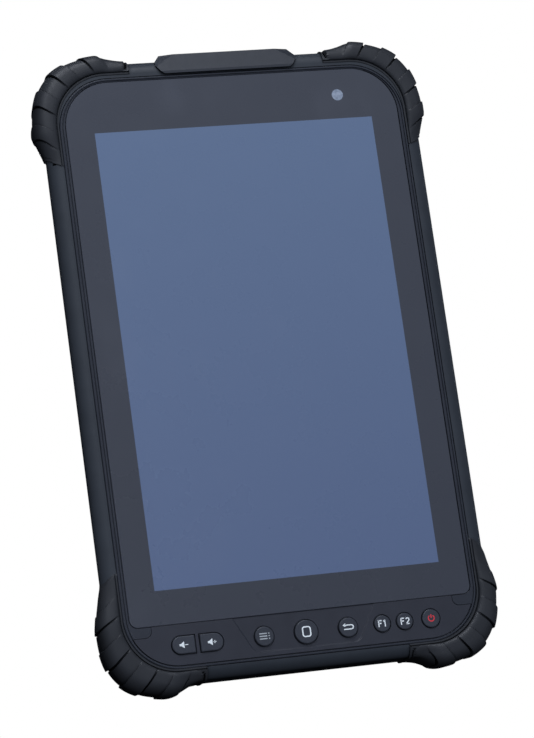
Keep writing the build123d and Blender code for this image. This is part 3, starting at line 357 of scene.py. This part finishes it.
class Corner:
    """Where one upper or lower corner's bumper starts, ends and swells, along its path.

    The path runs along the inner edge: 0 where the side turns into the corner arc, arc_end where the
    arc reaches the top or bottom rail.
    """

    def __init__(self, upper):
        self.up = 1 if upper else -1
        self.arc_z = screen_z + (89.3 if upper else -95.9)
        self.start = -14.8 if upper else -18.9
        self.swollen_from = -1.5 if upper else 3.0
        self.end = arc_end + corner_x - (37.6 if upper else 38.2)
        self.swollen_to = 35.0 if upper else 33.4
        self.reach_side = 8.6
        self.reach_rail = 8.5 if upper else 8.6
        self.body_side = 4.9
        self.body_rail = 4.5 if upper else 3.5
        self.reach_corner = 1.7 if upper else 2.2   # further out half way round the corner
        self.rail_ridge = 0.62 if upper else 0.3    # height of the bulge where its rail end stops
        self.side_sink = 0.0 if upper else 0.4      # how far the side end dips into the body
        self.back_trim = 4.6 if upper else 6.0      # sooner end on the back, clear of the housing screws
        self.pad_start = -6.0 if upper else -6.4
        self.pad_pitch = 12.75 if upper else 13.0
        self.pad_length = 5.9 if upper else 6.3

    def turn(self, s):
        return min(1.0, max(0.0, s / arc_end)) * math.pi / 2

    def place(self, s, out):
        """(x, z) of a point a distance out from the inner edge at path length s."""
        angle = self.turn(s)
        x = corner_x + (inner_r + out) * math.cos(angle)
        z = (inner_r + out) * math.sin(angle)
        if s < 0:
            z += s
        if s > arc_end:
            x -= s - arc_end
        return x, self.arc_z + self.up * z

    def blend(self, s, side, rail):
        share = math.sin(self.turn(s)) ** 2
        return side + (rail - side) * share

    def reach(self, s):
        """How far the bulge's outer edge is from the inner edge."""
        further = self.reach_corner * math.sin(2 * self.turn(s)) ** 2
        return self.blend(s, self.reach_side, self.reach_rail) + further

    def body_reach(self, s):
        """How far the body's outer edge is from the inner edge."""
        return self.blend(s, self.body_side, self.body_rail)

    def swell(self, s):
        """Share of the full bulge: 0 at the tips and 1 round the corner."""
        rise = smoothstep(s, self.start + lip_end, self.swollen_from)
        return rise * smoothstep(s, self.end - lip_end, self.swollen_to)

    def sooner(self, t, depth):
        """How far a point near the side end is moved along the path, by its depth towards the back."""
        return self.back_trim * smoothstep(t, self.start + 12, self.start) * smoothstep(depth, 2.0, 8.0)

    def height(self, t):
        """Share of the bulge's height: full on the pads, lower between them, cut at one end of each."""
        for i in range(pad_count):
            along = t - self.pad_start - i * self.pad_pitch
            past = -along if self.up > 0 else along - self.pad_length
            if 0 < past < 4 * step_half:
                return low_share - groove_share
            if 0 < along < self.pad_length:
                return 1.0
        return low_share

    def columns(self):
        """Path lengths of the mesh columns: even ones, close ones at pad edges, fine ones at the tips."""
        steps = []
        for i in range(pad_count):
            low = self.pad_start + i * self.pad_pitch
            steps += [low, low + self.pad_length]
        found = []
        for step in steps:
            found += [step + count * step_half for count in (-5, -3, -1, 1, 3, 5)]
        count = round((self.end - self.start) / 0.75)
        for i in range(count + 1):
            t = self.start + (self.end - self.start) * i / count
            if all(abs(t - step) > 0.8 for step in steps):
                found.append(t)
        for tip, way in ((self.start, 1), (self.end, -1)):
            found += [tip + way * 0.2 * i for i in range(1, 18)]
        found = sorted(t for t in found if self.start <= t <= self.end)
        kept = found[:1]
        for t in found[1:]:
            if t - kept[-1] > 0.09:
                kept.append(t)
        return kept


def skin_section(share, body_reach):
    """A point on the thin skin over the body: share 0 at the crest line and 1 at the middle of the side."""
    radius = body_edge + skin
    start = math.asin((crest - body_reach + body_edge) / radius)
    fillet = radius * (math.pi / 2 - start)
    straight = body_front - body_edge
    along = share * (fillet + straight)
    if along < fillet:
        angle = start + along / radius
        out = body_reach - body_edge + radius * math.sin(angle)
        return out, body_front - body_edge + radius * math.cos(angle)
    return body_reach + skin, straight - (along - fillet)


def skin_depth(out, body_reach):
    """Depth of the skin's face at a distance out from the inner edge."""
    radius = body_edge + skin
    across = max(0.0, out - (body_reach - body_edge))
    return body_front - body_edge + math.sqrt(radius * radius - across * across)


def skin_normal(out, depth, body_reach):
    """Way out of the body's rounded edge at a skin point."""
    normal = Vector((max(0.0, out - (body_reach - body_edge)), max(0.0, depth - (body_front - body_edge))))
    return normal.normalized()


def half_section(reach, body_reach):
    """Rows of (skin point, bulge point, is it past the inner edge), from the flange to mid-side."""
    flat = [(-flange, body_front - 0.1), (-flange, body_front + 0.2), (-0.22, body_front + 0.24),
            (-0.16, body_front - seam_depth), (wall_foot, body_front - seam_depth)]
    rows = [(point, point, False) for point in flat]
    for i in range(1, wall_steps + 1):
        angle = math.pi / 2 * i / wall_steps
        out = wall_foot + (crest - wall_foot) * (1 - math.cos(angle)) ** 1.2
        depth = body_front + (crest_y - body_front) * math.sin(angle)
        rows.append(((out, skin_depth(out, body_reach)), (out, depth), True))
    for i in range(1, bulge_steps + 1):
        angle = math.pi / 2 * (1 - i / bulge_steps)
        out = crest + (reach - crest) * math.cos(angle) ** (2 / squareness)
        depth = crest_y * math.sin(angle) ** (2 / squareness)
        rows.append((skin_section(i / bulge_steps, body_reach), (out, depth), True))
    return rows


def inner_section(body_reach):
    """The hidden face, just under the body's skin, from the back flange round to the front flange."""
    radius = body_edge - 0.15
    points = []
    for sign, face in ((1, body_back), (-1, body_front)):
        arc = []
        for i in range(5):
            angle = math.pi / 2 * i / 4
            arc.append((body_reach - body_edge + radius * math.sin(angle),
                        sign * (face - body_edge + radius * math.cos(angle))))
        points += arc if sign > 0 else arc[::-1]
    return points


def path_length(corner, t, bulge_out, to_back):
    """Where a point of column t sits along the path: the columns fan out, and end sooner on the back."""
    at_tip = smoothstep(t, corner.start + 8, corner.start)
    inside = smoothstep(t, corner.end, corner.end - 4)
    across = min(1.0, max(0.0, bulge_out) / corner.reach_side)
    lean = fan * (t - fan_middle) * (1 - 0.5 * at_tip)
    tip_lean = fan * (corner.start - fan_middle) * 0.25 * at_tip
    s = t + lean * (0.5 - across) * inside - tip_lean
    return min(corner.end, s + corner.sooner(t, to_back))


def outer_point(corner, t, face_sign, row):
    """(x, y, z) of a point of the outer surface, on the front (face_sign -1) or the back (1)."""
    (skin_out, skin_y), (bulge_out, bulge_y), free = row
    to_back = face_sign * bulge_y
    s = path_length(corner, t, bulge_out, to_back)
    late = back_delay * smoothstep(to_back, -4.0, 10.0) * smoothstep(t, 4.0, -4.0)
    share = corner.swell(s - late) * corner.height(t)
    out, depth = skin_out + (bulge_out - skin_out) * share, skin_y

    side_left, rail_left = t - corner.start, corner.end - s
    at_rail = side_left >= rail_left
    rounding = nose_round * max(0.0, 1 - bulge_out / nose_reach) ** 2
    tip = min(side_left, rail_left) - lip_end - rounding
    if free and tip > 0:
        ridge = corner.rail_ridge * smoothstep(tip, 0.0, 0.5) if at_rail else 0.0
        depth += (bulge_y - skin_y) * max(share, ridge)
    if free and tip < 0 and at_rail:
        rise = lip_rise if tip < -gutter_w else -gutter_drop
        normal = skin_normal(skin_out, skin_y, corner.body_reach(t))
        out += rise * normal.x
        depth += rise * normal.y

    sink = corner.side_sink * smoothstep(t, corner.start + 5, corner.start)
    out -= sink
    if abs(depth) > 2.0:
        depth -= sink
    if face_sign > 0:
        depth += (body_back - body_front) * (1 - share)
    behind = max(0.0, face_sign * depth - lean_y)
    out -= side_lean * behind * smoothstep(t, 6.0, 0.0) * (1 - share)
    out -= corner.blend(t, bulge_lean, rail_lean) * behind * share
    x, z = corner.place(s, out)
    return x, face_sign * depth, max(0.0, z)


def inner_point(corner, t, out, y):
    """(x, y, z) of a point of the hidden face."""
    back_lean = side_lean * max(0.0, y - lean_y) * smoothstep(t, 6.0, 0.0)
    x, z = corner.place(t + corner.sooner(t, y), out - back_lean)
    return x, y, z


def guard_mesh(side, upper):
    """One bumper as a loft of closed loops along the path."""
    corner = Corner(upper)
    mesh = bmesh.new()
    loops = []
    for t in corner.columns():
        rows = half_section(corner.reach(t), corner.body_reach(t))
        points = [outer_point(corner, t, -1, row) for row in rows]
        points += [outer_point(corner, t, 1, row) for row in rows[-2::-1]]
        points += [inner_point(corner, t, out, y) for out, y in inner_section(corner.body_reach(t))]
        loops.append([mesh.verts.new((side * x, y, z)) for x, y, z in points])
    for first, second in zip(loops, loops[1:]):
        for i in range(len(first)):
            j = (i + 1) % len(first)
            mesh.faces.new((first[i], first[j], second[j], second[i]))
    for loop in (loops[0], loops[-1]):
        mesh.faces.new(loop)
    return mesh


for side, side_name in ((-1, "left"), (1, "right")):
    for upper, end_name in ((True, "top"), (False, "bottom")):
        name = f"bumper_{end_name}_{side_name}"
        guard = new_piece(f"{name}_rubber", guard_mesh(side, upper), materials["bumper_rubber"], "tablet")
        smooth_below(guard, 32)
        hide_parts(name)


# ---------------------------------------------------------------- key legends
ink_height = 0.03


def legend(key, part, strokes, width, material, closed=False):
    """Flat strokes on a key's face; strokes are lists of (x, z) points from the key's centre."""
    mesh = bmesh.new()
    for points in strokes:
        count = len(points)
        sides = []
        for i, (x, z) in enumerate(points):
            before = points[i - 1] if i or closed else None
            after = points[(i + 1) % count] if i < count - 1 or closed else None
            ways = []
            if before:
                ways.append(Vector((x - before[0], z - before[1])).normalized())
            if after:
                ways.append(Vector((after[0] - x, after[1] - z)).normalized())
            way = sum(ways, Vector((0, 0))).normalized()
            reach = width / 2 / max(0.5, way.dot(ways[0]))
            normal = Vector((-way.y, way.x)) * reach
            sides.append([(x + sign * normal.x, z + sign * normal.y) for sign in (1, -1)])
        add_ribbon(mesh, sides, closed, key_x[key])
    piece = new_piece(f"{key}_{part}", mesh, material, key)
    return piece


def add_ribbon(mesh, sides, closed, centre_x):
    """A thin raised band between two rows of points."""
    rows = []
    for left, right in sides:
        rows.append([mesh.verts.new((centre_x + x, key_y + y, key_z + z))
                     for (x, z) in (left, right) for y in (0.01, -ink_height)])
    pairs = list(zip(rows, rows[1:]))
    if closed:
        pairs.append((rows[-1], rows[0]))
    for (a_in, a_out, b_in, b_out), (c_in, c_out, d_in, d_out) in pairs:
        mesh.faces.new((a_out, b_out, d_out, c_out))
        mesh.faces.new((a_in, c_in, d_in, b_in))
        mesh.faces.new((a_out, c_out, c_in, a_in))
        mesh.faces.new((b_out, b_in, d_in, d_out))
    if not closed:
        for a_in, a_out, b_in, b_out in (rows[0], rows[-1]):
            mesh.faces.new((a_in, b_in, b_out, a_out))


def add_plate(mesh, outline, centre_x):
    """A thin raised plate with the given outline."""
    top = [mesh.verts.new((centre_x + x, key_y - ink_height, key_z + z)) for x, z in outline]
    low = [mesh.verts.new((centre_x + x, key_y + 0.01, key_z + z)) for x, z in outline]
    mesh.faces.new(top)
    mesh.faces.new(low[::-1])
    for i in range(len(outline)):
        j = (i + 1) % len(outline)
        mesh.faces.new((top[i], low[i], low[j], top[j]))


def arc(centre, radius, start, stop, steps):
    """Points round a circle; angles in degrees from +X, anticlockwise."""
    points = []
    for i in range(steps + 1):
        angle = math.radians(start + (stop - start) * i / steps)
        points.append((centre[0] + radius * math.cos(angle), centre[1] + radius * math.sin(angle)))
    return points


def rounded_box(half_w, half_h, radius):
    points = []
    for sx, sz, start in ((1, 1, 0), (-1, 1, 90), (-1, -1, 180), (1, -1, 270)):
        points += arc((sx * (half_w - radius), sz * (half_h - radius)), radius, start, start + 90, 5)
    return points


speaker = [(-1.6, -0.36), (-1.0, -0.42), (0.15, -1.25), (0.15, 1.25), (-1.0, 0.42), (-1.6, 0.36)]
for key, upright in (("key_volume_down", False), ("key_volume_up", True)):
    plate = bmesh.new()
    add_plate(plate, speaker, key_x[key])
    new_piece(f"{key}_speaker", plate, legend_white, key)
    legend(key, "sign", [[(0.45, 0), (1.55, 0)]], 0.3, legend_white)
    if upright:
        legend(key, "sign_upright", [[(1.0, -0.55), (1.0, 0.55)]], 0.3, legend_white)

menu_rows = (-0.95, 0.0, 0.95)
legend("key_menu", "lines", [[(-1.9, z), (0.95, z)] for z in menu_rows], 0.42, legend_dim)
legend("key_menu", "dots", [[(1.45, z), (1.9, z)] for z in menu_rows], 0.42, legend_dim)
legend("key_home", "square", [rounded_box(1.45, 1.75, 0.75)], 0.46, legend_white, closed=True)
legend("key_back", "arrow", [[(-1.5, 0.75)] + arc((1.05, 0.0), 0.75, 90, -90, 8) + [(-1.8, -0.75)]], 0.4,
       legend_white)
legend("key_back", "arrow_head", [[(-1.15, 1.35), (-1.95, 0.75), (-1.15, 0.3)]], 0.3, legend_white)

letter_h, letter_w, letter_stroke = 2.5, 1.25, 0.42
letter_f = [[(0, 0), (0, letter_h)], [(0, letter_h - 0.2), (letter_w, letter_h - 0.2)],
            [(0, letter_h * 0.52), (letter_w * 0.85, letter_h * 0.52)]]
digit_1 = [[(0.55, 0), (0.55, letter_h)], [(0.0, letter_h - 0.55), (0.5, letter_h - 0.2)]]
digit_2 = [arc((0.62, letter_h - 0.78), 0.58, 165, -35, 8) + [(0.05, 0.2)], [(0.0, 0.2), (1.25, 0.2)]]
for key, digit in (("key_f1", digit_1), ("key_f2", digit_2)):
    lettering = [(letter_f, -1.5), (digit, 0.35)]
    strokes = [[(x + shift, z - letter_h / 2) for x, z in stroke]
               for glyph, shift in lettering for stroke in glyph]
    legend(key, "lettering", strokes, letter_stroke, legend_white)

legend("key_power", "ring", [arc((0, 0), 1.1, 125, 415, 22)], 0.4, legend_red)
legend("key_power", "bar", [[(0, 0.1), (0, 1.4)]], 0.38, legend_red)


# ---------------------------------------------------------------- front camera behind the glass
def dome(centre_x, centre_z, y, radius, height, rings=6, spokes=36):
    """A shallow domed disc facing the user, with a small rim."""
    mesh = bmesh.new()
    loops = []
    for i in range(rings + 1):
        share = i / rings
        depth = y - height * (1 - (1 - share) ** 2)
        loop = []
        for k in range(spokes):
            angle = 2 * math.pi * k / spokes
            loop.append(mesh.verts.new((centre_x + radius * (1 - share * 0.97) * math.cos(angle), depth,
                                        centre_z + radius * (1 - share * 0.97) * math.sin(angle))))
        loops.append(loop)
    for first, second in zip(loops, loops[1:]):
        for k in range(spokes):
            j = (k + 1) % spokes
            mesh.faces.new((first[k], first[j], second[j], second[k]))
    mesh.faces.new(loops[-1])
    mesh.faces.new(loops[0][::-1])
    return mesh


front_camera_x, front_camera_z = 41.6, screen_z + 95.5
window = new_piece("front_camera_window", dome(front_camera_x, front_camera_z, glass_y, 2.2, 0.05),
                   camera_glass, "tablet")
smooth_below(window, 40)

# ---------------------------------------------------------------- floor, lights, world and camera
floor_mesh = bmesh.new()
bmesh.ops.create_grid(floor_mesh, x_segments=1, y_segments=1, size=3.0)
floor_data = bpy.data.meshes.new("floor")
floor_mesh.to_mesh(floor_data)
floor_mesh.free()
floor = bpy.data.objects.new("floor", floor_data)
bpy.context.scene.collection.objects.link(floor)
floor.visible_diffuse = False
floor.visible_glossy = False
floor.visible_shadow = False

paper = Shader("floor_paper")
paper_colour = paper.mix(paper.noise(40.0), (0.86, 0.86, 0.86, 1), (0.9, 0.9, 0.9, 1))
paper.set(Base_Color=paper_colour, Roughness=0.9, Normal=paper.bump(paper.noise(1.0), 0.02))
see_through = paper.add("ShaderNodeBsdfTransparent").outputs[0]
from_below = paper.add("ShaderNodeNewGeometry").outputs["Backfacing"]
one_sided = paper.add("ShaderNodeMixShader", {0: from_below, 1: paper.surface.outputs[0], 2: see_through})
paper.tree.links.new(one_sided.outputs[0], paper.tree.nodes["Material Output"].inputs["Surface"])
floor_data.materials.append(paper.material)

world = bpy.data.worlds.new("studio")
world.use_nodes = True
bpy.context.scene.world = world
sky = world.node_tree
direction = sky.nodes.new("ShaderNodeTexCoord").outputs["Generated"]
towards = sky.nodes.new("ShaderNodeVectorMath")
towards.operation = "DOT_PRODUCT"
towards.inputs[1].default_value = Vector((-0.15, -0.75, 0.65)).normalized()
sky.links.new(direction, towards.inputs[0])
height = sky.nodes.new("ShaderNodeMapRange")
height.inputs["From Min"].default_value = -1.0
sky.links.new(towards.outputs["Value"], height.inputs["Value"])
gradient = sky.nodes.new("ShaderNodeValToRGB")
stops = ((0.0, 0.0), (0.5, 0.005), (0.7, 0.06), (0.85, 0.35), (1.0, 1.0))
while len(gradient.color_ramp.elements) < len(stops):
    gradient.color_ramp.elements.new(0.5)
for element, (position, brightness) in zip(gradient.color_ramp.elements, stops):
    element.position = position
    element.color = (brightness * 0.9, brightness, brightness * 1.15, 1)
sky.links.new(height.outputs[0], gradient.inputs[0])
backdrop = sky.nodes["Background"]
backdrop.inputs[0].default_value = (1, 1, 1, 1)
glow = sky.nodes.new("ShaderNodeBackground")
sky.links.new(gradient.outputs[0], glow.inputs[0])
glow.inputs[1].default_value = 0.35
choose = sky.nodes.new("ShaderNodeMixShader")
sky.links.new(sky.nodes.new("ShaderNodeLightPath").outputs["Is Camera Ray"], choose.inputs[0])
sky.links.new(glow.outputs[0], choose.inputs[1])
sky.links.new(backdrop.outputs[0], choose.inputs[2])
sky.links.new(choose.outputs[0], sky.nodes["World Output"].inputs[0])
bpy.context.scene.view_settings.view_transform = "Standard"


cool = (0.93, 0.97, 1.06)


def softbox(name, place, target, size, power, glossy=True):
    """A square area light, in metres and watts; one that isn't glossy gives no highlights."""
    data = bpy.data.lights.new(name, "AREA")
    data.shape = "SQUARE"
    data.size = size
    data.energy = power
    data.color = cool
    lamp = bpy.data.objects.new(name, data)
    lamp.location = place
    lamp.visible_glossy = glossy
    lamp.rotation_euler = (Vector(target) - Vector(place)).to_track_quat("-Z", "Y").to_euler()
    bpy.context.scene.collection.objects.link(lamp)


middle = (0, 0, 0.12)
softbox("key_light", (-0.12, -0.75, 1.1), middle, 0.6, 9.0)
softbox("fill_light", (-0.1, -1.40, 0.0), middle, 0.8, 18.0, glossy=False)
softbox("rear_light", (0.1, 1.4, 0.5), middle, 0.8, 70.0, glossy=False)
softbox("rear_top_light", (-0.1, 0.65, 1.4), middle, 0.7, 14.0, glossy=False)
softbox("right_side_light", (1.4, 0.7, 0.4), middle, 0.7, 30.0, glossy=False)

camera_place = Vector((-288.67, -1055.69, -107.63)) * MM
camera_forward = Vector((0.2600, 0.9442, 0.2022))
camera_right = Vector((0.9622, -0.2358, -0.1363))
camera_up = camera_right.cross(camera_forward)
camera_data = bpy.data.cameras.new("camera")
camera_data.lens = 146.34
camera_data.sensor_width = 36.0
camera = bpy.data.objects.new("camera", camera_data)
turn = Matrix((camera_right, camera_up, -camera_forward)).transposed().to_4x4()
camera.matrix_world = Matrix.Translation(camera_place) @ turn
bpy.context.scene.collection.objects.link(camera)
bpy.context.scene.camera = camera
